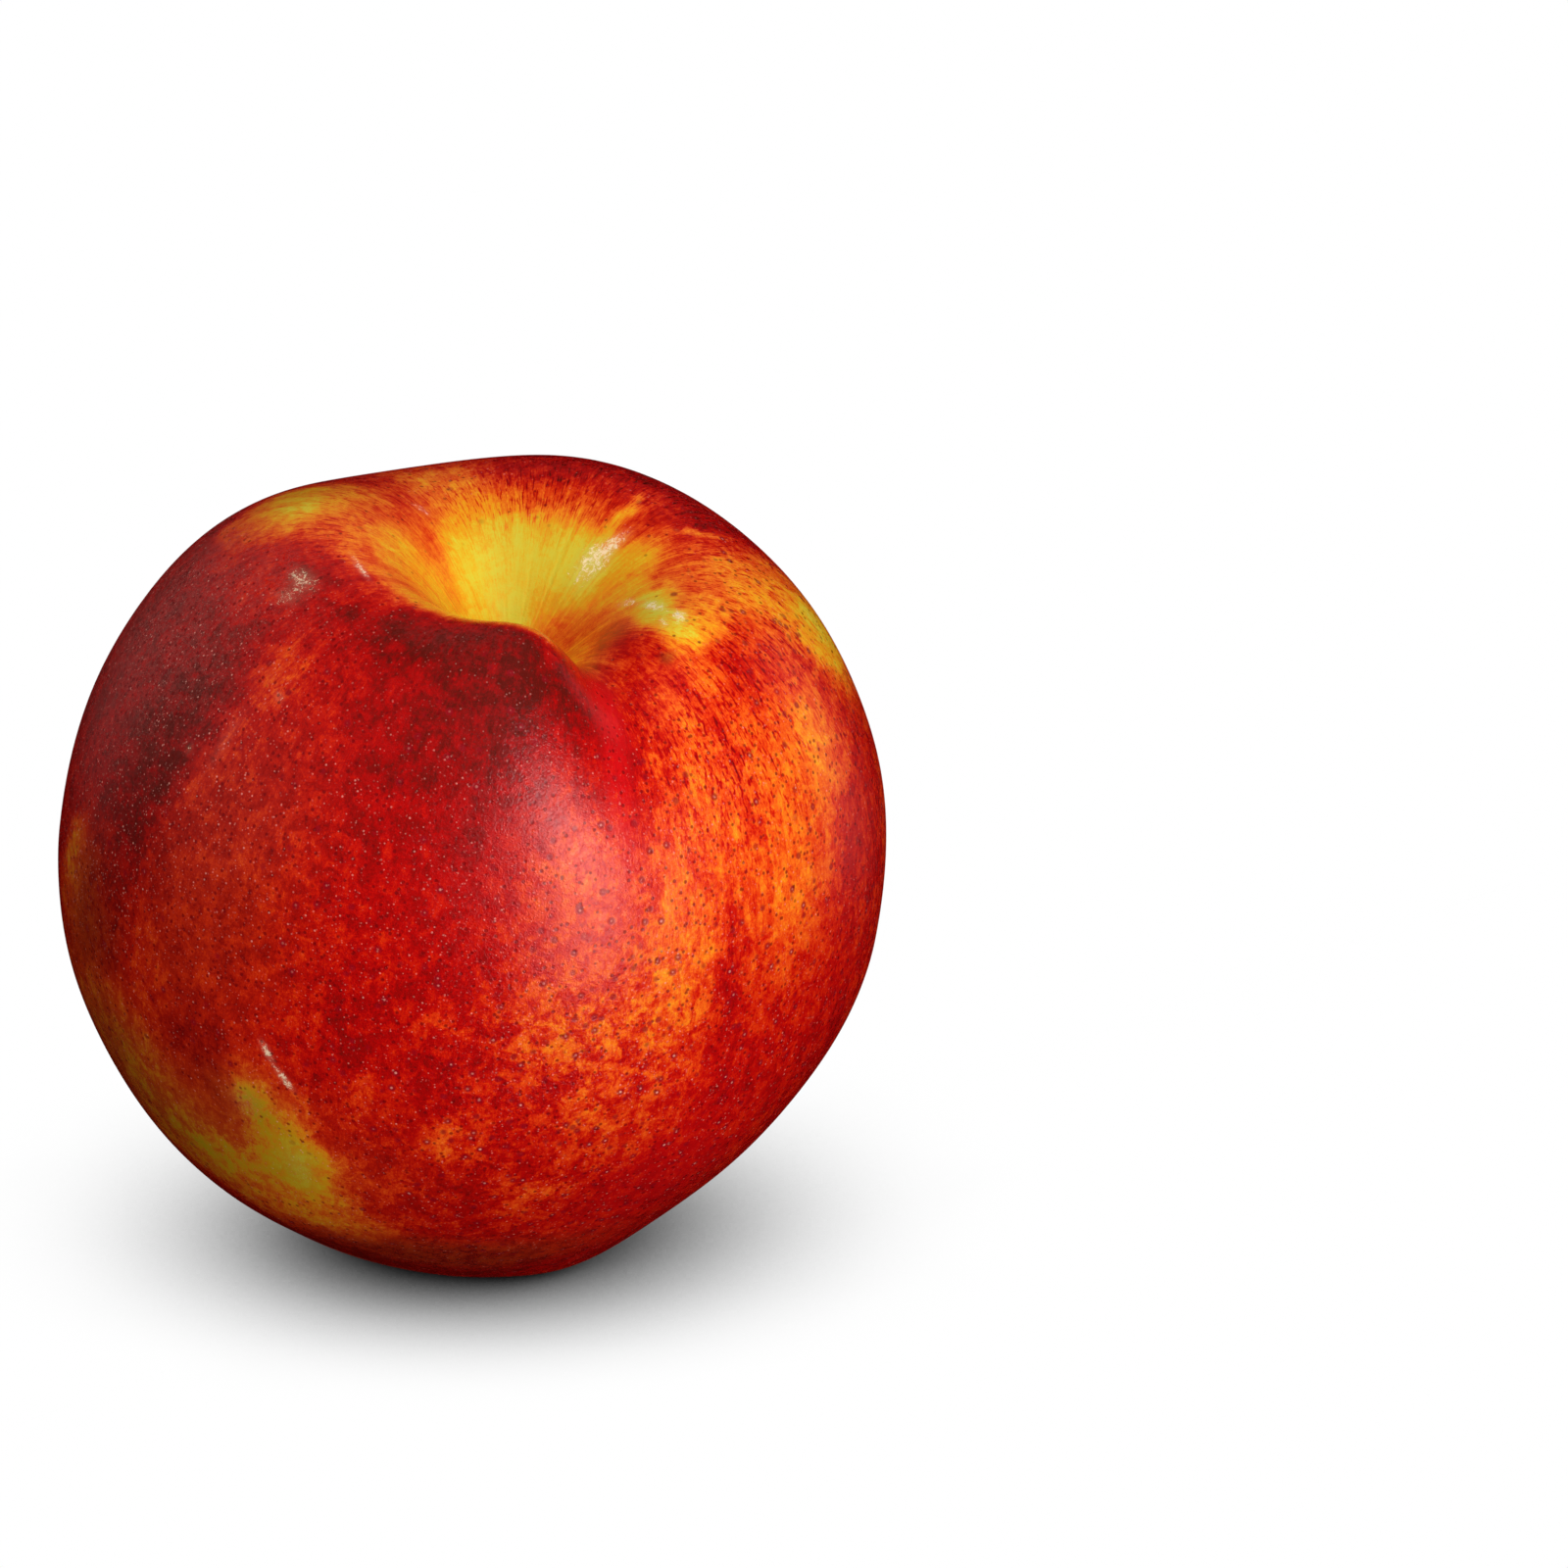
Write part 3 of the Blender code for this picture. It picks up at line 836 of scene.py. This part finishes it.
# Drawn-out noises: factors around the stalk (twice) and along the meridian, or in x, y and z for
# the wood's fibres, then the noise's settings.
BROAD_STREAKS = ((12.0, 12.0, 0.06), 1.0, 4.0, 0.60, 0.0)
FINE_STREAKS = ((44.0, 44.0, 0.16), 1.0, 4.0, 0.70, 0.0)
STRANDS = ((70.0, 70.0, 0.75), 1.0, 4.0, 0.70, 1.4)
DASHES = ((85.0, 85.0, 1.00), 1.0, 1.0, 0.50, 0.0)
FIBRES = ((1.0, 1.0, 0.4), 2.6, 5.0, 0.70, 0.0)

# How far each pattern shifts the blush. Skin with no mottling is still a little broken up.
DRIFT_SHIFT = 0.16
ISLAND_SHIFT = 0.30
FLECK_SHIFT = 0.46
STRAND_SHIFT = 0.30
GRAIN_SHIFT = 0.15
BROAD_STREAK_SHIFT = 0.50
FINE_STREAK_SHIFT = 0.45
DASH_SHIFT = 0.26
LEAST_BROKEN = 0.15

# Where each pattern goes from nothing to all of it, as values of the noise or the map.
ISLAND_EDGE = (0.38, 0.62)
DASH_EDGE = (0.54, 0.68)
GROUND_EDGE = (0.50, 0.20)
HALF_GROWN_START = (0.25, 0.50)
HALF_GROWN_END = (0.95, 0.70)
CRIMSON_EDGE = (0.25, 0.55)
BLOOM_AND_SHEEN_EDGE = (0.30, 0.70)
CRUMB_EDGE = (0.80, 1.02)
SCUFF_AND_GLINT_EDGE = (0.05, 0.30)
WOOD_EDGE = (0.35, 0.65)
DRY_EDGE = (0.35, 0.65)

OLIVE_BROWN_SHARE = 0.55
BLOOM_AND_SHEEN_SHARE = 0.55
SCUFF_AND_GLINT_HAZE = 0.12
CORK_AND_GLINT_SHARE = 0.75
CRUMB_CONTRAST = 3.6
DRY_RAGGEDNESS = 0.8

# Pore layers: cells per mm, the radius of the pale middle and of the dark ring (0 where there is
# none), the ring's colour, and how much the dullest middle shines.
LARGE_PORES = (0.80, 0.17, 0.46, PORE_RING, 0.40)
SPECKS = (1.45, 0.0, 0.22, SPECK_COLOUR, 0.0)
SMALL_PORES = (1.90, 0.13, 0.0, PORE_RING, 0.10)
DUST = (3.20, 0.10, 0.0, PORE_RING, 0.06)
DUST_SHARE = 0.80
PORE_CHANCE = (1.00, 1.15)
PORE_FADE = (0.0, 0.1)
RING_CORE = 0.5
RING_SHARE = 0.75
RING_SINK = -0.5
MIDDLE_CORE = 0.4
MIDDLE_RISE = 0.7
SHINE_RARITY = 2.5
SHINE_RANGE = 0.70

ROUGHNESS = 0.20
GRAIN_ROUGHNESS = 0.08
BLOOM_ROUGHNESS = 0.14
DRY_ROUGHNESS = 0.4
SKIN_IOR = 1.42

# Relief in units of the bump distance.
BUMP_DISTANCE = 0.03 * MM
GRAIN_HEIGHT = 0.35
PEEL_HEIGHT = 1.6
PORE_HEIGHT = 0.9
STREAK_HEIGHT = 1.2
FIBRE_HEIGHT = 6.0


class Skin:
    """The painted maps, and the noises that more than one pattern uses.

    Place is in mm. Meridian is the azimuth's cosine and sine, and the way along it in mm.
    """

    def __init__(self, graph):
        self.place = graph.attribute("place", "Vector")
        self.meridian = graph.attribute("meridian", "Vector")
        self.blush_and_shade = graph.attribute("blush_and_shade", "Fac")
        self.dry = graph.attribute("dry", "Fac")
        self.streaks, self.mottle, self.dashes = graph.split(graph.attribute("pattern", "Vector"))
        self.large_pores, self.small_pores, self.specks = graph.split(
            graph.attribute("pores", "Vector"))
        self.crimson, self.green, self.scuff_and_glint = graph.split(graph.attribute("tints", "Vector"))
        self.bloom_and_sheen = graph.attribute("bloom_and_sheen", "Fac")
        self.flecks = graph.noise(self.place, *FLECKS)
        self.grain = graph.noise(self.place, *GRAIN)
        self.fine_streaks = graph.stretched_noise(self.meridian, *FINE_STREAKS)
        self.fibres = graph.stretched_noise(self.place, *FIBRES)


def blush_value(graph, skin):
    """The painted blush, darker at the bottom front as painted shade, broken up by islands, flecks,
    streaks and dashes.
    """
    islands = graph.step(graph.noise(skin.place, *CLOUDS), *ISLAND_EDGE)
    strands = graph.stretched_noise(skin.meridian, *STRANDS)
    broad_streaks = graph.stretched_noise(skin.meridian, *BROAD_STREAKS)
    dashes = graph.step(graph.stretched_noise(skin.meridian, *DASHES), *DASH_EDGE)
    broken = graph.add(skin.mottle, LEAST_BROKEN)
    return graph.add(
        skin.blush_and_shade,
        graph.ripple(graph.noise(skin.place, *DRIFT), DRIFT_SHIFT),
        graph.times(graph.ripple(islands, ISLAND_SHIFT), skin.mottle),
        graph.times(graph.ripple(skin.flecks, FLECK_SHIFT), broken),
        graph.times(graph.ripple(strands, STRAND_SHIFT), graph.add(broken, skin.streaks)),
        graph.ripple(skin.grain, GRAIN_SHIFT),
        graph.times(graph.ripple(broad_streaks, BROAD_STREAK_SHIFT), skin.streaks),
        graph.times(graph.ripple(skin.fine_streaks, FINE_STREAK_SHIFT), skin.streaks),
        graph.times(dashes, skin.dashes, DASH_SHIFT),
    )


def blushed_colour(graph, skin):
    """The colour of the blush, with olive ground, crimson and dull bloom over it; the bloom is partly
    painted sheen, and the olive-brown partly painted shade at the bottom.
    """
    value = blush_value(graph, skin)
    colour = graph.ramp(value, SKIN_COLOURS)
    on_ground = graph.step(value, *GROUND_EDGE)
    half_grown = graph.times(
        graph.step(value, *HALF_GROWN_START), graph.step(value, *HALF_GROWN_END), OLIVE_BROWN_SHARE)
    colour = graph.mix(graph.times(skin.green, on_ground), colour, OLIVE)
    colour = graph.mix(graph.times(skin.green, half_grown), colour, OLIVE_BROWN_AND_SHADE)
    speckled = graph.step(skin.flecks, *CRIMSON_EDGE)
    colour = graph.mix(graph.times(skin.crimson, speckled), colour, CRIMSON)
    clouds = graph.step(graph.noise(skin.place, *BLOOM_AND_SHEEN_CLOUDS), *BLOOM_AND_SHEEN_EDGE)
    return graph.mix(graph.times(skin.bloom_and_sheen, clouds, BLOOM_AND_SHEEN_SHARE), colour, BLOOM_AND_SHEEN_COLOUR)


def pore_cells(graph, place, share, scale):
    """One pore to a cell. Return the distance from its middle, if it shows, and its strength."""
    cells = graph.node("ShaderNodeTexVoronoi")
    graph.feed(cells.inputs["Vector"], place)
    graph.feed(cells.inputs["Scale"], scale)
    distance = graph.times(cells.outputs["Distance"], 1.0 / scale)
    luck, strength, _ = graph.split(cells.outputs["Color"])
    lucky = graph.step(graph.add(luck, share), *PORE_CHANCE)
    return distance, graph.times(lucky, graph.step(share, *PORE_FADE)), strength


def with_pores(graph, skin, colour):
    """Add the pores: ringed ones, dark specks and pale points. Also return their height."""
    height = 0.0
    dust = graph.times(skin.small_pores, DUST_SHARE)
    layers = (
        (skin.large_pores, LARGE_PORES),
        (skin.specks, SPECKS),
        (skin.small_pores, SMALL_PORES),
        (dust, DUST),
    )
    for share, (scale, middle_radius, ring_radius, ring_colour, least_shine) in layers:
        distance, shows, strength = pore_cells(graph, skin.place, share, scale)
        if ring_radius:
            ring = graph.step(distance, ring_radius, ring_radius * RING_CORE)
            ring = graph.times(ring, shows)
            colour = graph.mix(graph.times(ring, RING_SHARE), colour, ring_colour)
            height = graph.add(height, graph.times(ring, RING_SINK))
        if middle_radius:
            middle = graph.step(distance, middle_radius, middle_radius * MIDDLE_CORE)
            middle = graph.times(middle, shows)
            rare = graph.math("POWER", strength, SHINE_RARITY)
            shine = graph.math("MULTIPLY_ADD", rare, SHINE_RANGE, least_shine)
            colour = graph.mix(graph.times(middle, shine, share), colour, PORE_CENTRE)
            height = graph.add(height, graph.times(middle, MIDDLE_RISE))
    return colour, height


def with_scuffs_and_glints(graph, skin, colour):
    """Add thin corky scuffs and painted glints: loose clusters of pale specks in a faint cream haze,
    which in the stalk cavity are painted highlights.
    """
    crumbs = graph.ripple(graph.noise(skin.place, *CRUMBS), CRUMB_CONTRAST)
    cork_and_glint_specks = graph.step(graph.add(skin.scuff_and_glint, crumbs), *CRUMB_EDGE)
    cork_and_glint_specks = graph.times(cork_and_glint_specks, graph.step(skin.scuff_and_glint, *SCUFF_AND_GLINT_EDGE))
    colour = graph.mix(graph.times(skin.scuff_and_glint, skin.scuff_and_glint, SCUFF_AND_GLINT_HAZE), colour, CORK_AND_GLINT)
    return graph.mix(graph.times(cork_and_glint_specks, CORK_AND_GLINT_SHARE), colour, CORK_AND_GLINT)


def fine_relief(graph, skin, pore_height, woody):
    """Normals with the relief that is too fine for the mesh."""
    relief = graph.node("ShaderNodeBump")
    graph.feed(relief.inputs["Strength"], 1.0)
    graph.feed(relief.inputs["Distance"], BUMP_DISTANCE)
    graph.feed(relief.inputs["Height"], graph.add(
        graph.ripple(skin.grain, GRAIN_HEIGHT),
        graph.ripple(graph.noise(skin.place, *PEEL), PEEL_HEIGHT),
        graph.times(pore_height, PORE_HEIGHT),
        graph.times(graph.ripple(skin.fine_streaks, STREAK_HEIGHT), skin.streaks),
        graph.times(graph.ripple(skin.fibres, FIBRE_HEIGHT), woody),
    ))
    return relief.outputs[0]


def skin_material():
    """Glossy skin with pores, scuffs, painted glints in the stalk cavity, bloom with painted sheen,
    painted shade at the bottom, and dull dry wood on the scar and the tip point.
    """
    material, graph = new_material("nectarine_skin")
    skin = Skin(graph)
    colour, pore_height = with_pores(graph, skin, blushed_colour(graph, skin))
    colour = with_scuffs_and_glints(graph, skin, colour)
    wood = graph.mix(graph.step(skin.fibres, *WOOD_EDGE), DRY_DARK, DRY_LIGHT)
    woody = graph.add(skin.dry, graph.ripple(skin.flecks, DRY_RAGGEDNESS))
    woody = graph.step(woody, *DRY_EDGE)
    colour = graph.mix(woody, colour, wood)

    roughness = graph.add(
        ROUGHNESS,
        graph.ripple(skin.grain, GRAIN_ROUGHNESS),
        graph.times(skin.bloom_and_sheen, BLOOM_ROUGHNESS),
        graph.times(woody, DRY_ROUGHNESS),
    )
    shader = graph.node("ShaderNodeBsdfPrincipled")
    graph.feed(shader.inputs["Base Color"], colour)
    graph.feed(shader.inputs["Roughness"], roughness)
    graph.feed(shader.inputs["Normal"], fine_relief(graph, skin, pore_height, woody))
    graph.feed(shader.inputs["IOR"], SKIN_IOR)
    graph.finish(shader.outputs[0])
    return material


# ---------------------------------------------------------------------------
# Studio. Lengths are in metres, and the camera's lens and sensor in millimetres.
# ---------------------------------------------------------------------------

CAMERA_DISTANCE = 0.600
CAMERA_ELEVATION = math.radians(18)
CAMERA_LENS = 150.0
CAMERA_SENSOR = 36.0
CAMERA_CLIP_START = 0.01
AIM_RIGHT = 29.7 * MM
AIM_UP = 7.7 * MM

FLOOR_HALF_WIDTH = 2.0
FLOOR_LEVEL = 1.0
FLOOR_BOUNCE = (0.06, 0.06, 0.06)
SHADOW_REACH = 0.14
SHADOW_SAMPLES = 32
SHADOW_TILT = (0.0, -0.42, 0.91)
SHADOW_EDGE = (0.16, 0.78)

WORLD_COLOUR = (1.0, 1.0, 1.0)
WORLD_LIGHT = 0.10
WORLD_SEEN_EXTRA = 1.0

# Lights: name, azimuth and elevation in degrees, distance, width and height, and power in
# watts. Azimuth 0 is the camera's side, and + is its right.
KEY_LIGHTS = (
    ("key", 36.0, -5.0, 0.80, (0.28, 0.74), 2.9),
    ("key_core", 34.0, 10.0, 0.79, (0.16, 0.22), 0.32),
    ("key_side", 54.0, 0.0, 0.80, (0.40, 0.60), 0.25),
    ("right_rim", 125.0, 5.0, 0.90, (0.30, 0.80), 0.25),
    ("left_rim", -130.0, 15.0, 0.90, (0.50, 0.80), 0.10),
)
FILLS = (
    ("key_fill", 33.0, 2.0, 0.80, (0.90, 0.90), 8.8),
    ("left_fill", -75.0, 15.0, 0.90, (0.90, 0.90), 2.6),
    ("top_fill", 10.0, 60.0, 0.90, (0.90, 0.90), 4.0),
    ("back_fill", 180.0, 25.0, 0.90, (0.90, 0.90), 4.8),
)
BOUNCES = (
    ("left_bounce", -72.0, -14.0, 0.90, (0.50, 0.30), 0.8),
    ("front_bounce", 20.0, -6.0, 0.90, (0.50, 0.30), 0.8),
)


def make_camera(origin):
    """Look along +Y and down, with the fruit left of the middle of the view."""
    back = Vector((0.0, -math.cos(CAMERA_ELEVATION), math.sin(CAMERA_ELEVATION)))
    up = Vector((0.0, math.sin(CAMERA_ELEVATION), math.cos(CAMERA_ELEVATION)))
    data = bpy.data.cameras.new("camera")
    data.lens = CAMERA_LENS
    data.sensor_width = CAMERA_SENSOR
    data.clip_start = CAMERA_CLIP_START
    camera = bpy.data.objects.new("camera", data)
    aim = origin + Vector((AIM_RIGHT, 0.0, 0.0)) + up * AIM_UP
    camera.location = aim + back * CAMERA_DISTANCE
    camera.rotation_euler = (math.pi / 2.0 - CAMERA_ELEVATION, 0.0, 0.0)
    bpy.context.scene.collection.objects.link(camera)
    bpy.context.scene.camera = camera


def make_softbox(name, origin, azimuth, elevation, distance, size, power):
    """Add a rectangular light aimed at the fruit's origin."""
    turn = math.radians(azimuth)
    rise = math.radians(elevation)
    level = math.cos(rise)
    towards = Vector((math.sin(turn) * level, -math.cos(turn) * level, math.sin(rise)))
    data = bpy.data.lights.new(name, "AREA")
    data.shape = "RECTANGLE"
    data.size, data.size_y = size
    data.energy = power
    light = bpy.data.objects.new(name, data)
    light.location = origin + towards * distance
    light.rotation_euler = (-towards).to_track_quat("-Z", "Y").to_euler()
    bpy.context.scene.collection.objects.link(light)
    return light


def add_lights(settings, fruit, origin, in_gloss, through_floor):
    """Add lights that light only the fruit. Through the floor, only the fruit blocks them."""
    for name, *setting in settings:
        light = make_softbox(name, origin, *setting)
        light.visible_glossy = in_gloss
        only_fruit = bpy.data.collections.new(name + "_only")
        only_fruit.objects.link(fruit)
        light.light_linking.receiver_collection = only_fruit
        if through_floor:
            light.light_linking.blocker_collection = only_fruit


def floor_material():
    """White with a soft contact shadow to the camera, and dark to all other rays."""
    material, graph = new_material("floor")
    tilt = graph.node("ShaderNodeCombineXYZ")
    for socket, value in zip(tilt.inputs, SHADOW_TILT):
        graph.feed(socket, value)
    openness = graph.node("ShaderNodeAmbientOcclusion", samples=SHADOW_SAMPLES)
    graph.feed(openness.inputs["Distance"], SHADOW_REACH)
    graph.feed(openness.inputs["Normal"], tilt.outputs[0])
    white = graph.node("ShaderNodeEmission")
    graph.feed(white.inputs["Color"], graph.step(openness.outputs["AO"], *SHADOW_EDGE))
    graph.feed(white.inputs["Strength"], FLOOR_LEVEL)
    dark = graph.node("ShaderNodeBsdfDiffuse")
    graph.feed(dark.inputs["Color"], FLOOR_BOUNCE)
    seen = graph.node("ShaderNodeLightPath").outputs["Is Camera Ray"]
    pick = graph.node("ShaderNodeMixShader")
    graph.feed(pick.inputs[0], seen)
    graph.feed(pick.inputs[1], dark.outputs[0])
    graph.feed(pick.inputs[2], white.outputs[0])
    graph.finish(pick.outputs[0])
    return material


def make_floor():
    """Add a wide floor that doesn't show in the fruit's gloss."""
    sheet = bmesh.new()
    bmesh.ops.create_grid(sheet, x_segments=1, y_segments=1, size=FLOOR_HALF_WIDTH)
    mesh = bpy.data.meshes.new("floor")
    sheet.to_mesh(mesh)
    sheet.free()
    mesh.materials.append(floor_material())
    floor = bpy.data.objects.new("floor", mesh)
    floor.visible_glossy = False
    bpy.context.scene.collection.objects.link(floor)
    return floor


def make_world():
    """White to the camera. It lights the fruit faintly and doesn't show in its gloss."""
    world = bpy.data.worlds.new("studio")
    world.use_nodes = True
    graph = Graph(world.node_tree)
    background = world.node_tree.nodes["Background"]
    seen = graph.node("ShaderNodeLightPath").outputs["Is Camera Ray"]
    strength = graph.math("MULTIPLY_ADD", seen, WORLD_SEEN_EXTRA, WORLD_LIGHT)
    graph.feed(background.inputs["Color"], WORLD_COLOUR)
    graph.feed(background.inputs["Strength"], strength)
    bpy.context.scene.world = world
    world.cycles_visibility.glossy = False


def main():
    """Build the fruit, attach it to the root body with the CAD part hidden, and set up the studio
    around it.
    """
    fruit, origin = make_fruit(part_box("nectarine"))
    fruit.data.materials.append(skin_material())
    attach(fruit, "root")
    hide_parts("nectarine")

    floor = make_floor()
    make_world()
    add_lights(KEY_LIGHTS, fruit, origin, in_gloss=True, through_floor=True)
    add_lights(FILLS, fruit, origin, in_gloss=False, through_floor=False)
    add_lights(BOUNCES, fruit, origin, in_gloss=False, through_floor=True)
    make_camera(origin)

    scene = bpy.context.scene
    scene.view_settings.view_transform = "Standard"
    scene.view_settings.look = "None"


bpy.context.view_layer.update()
main()
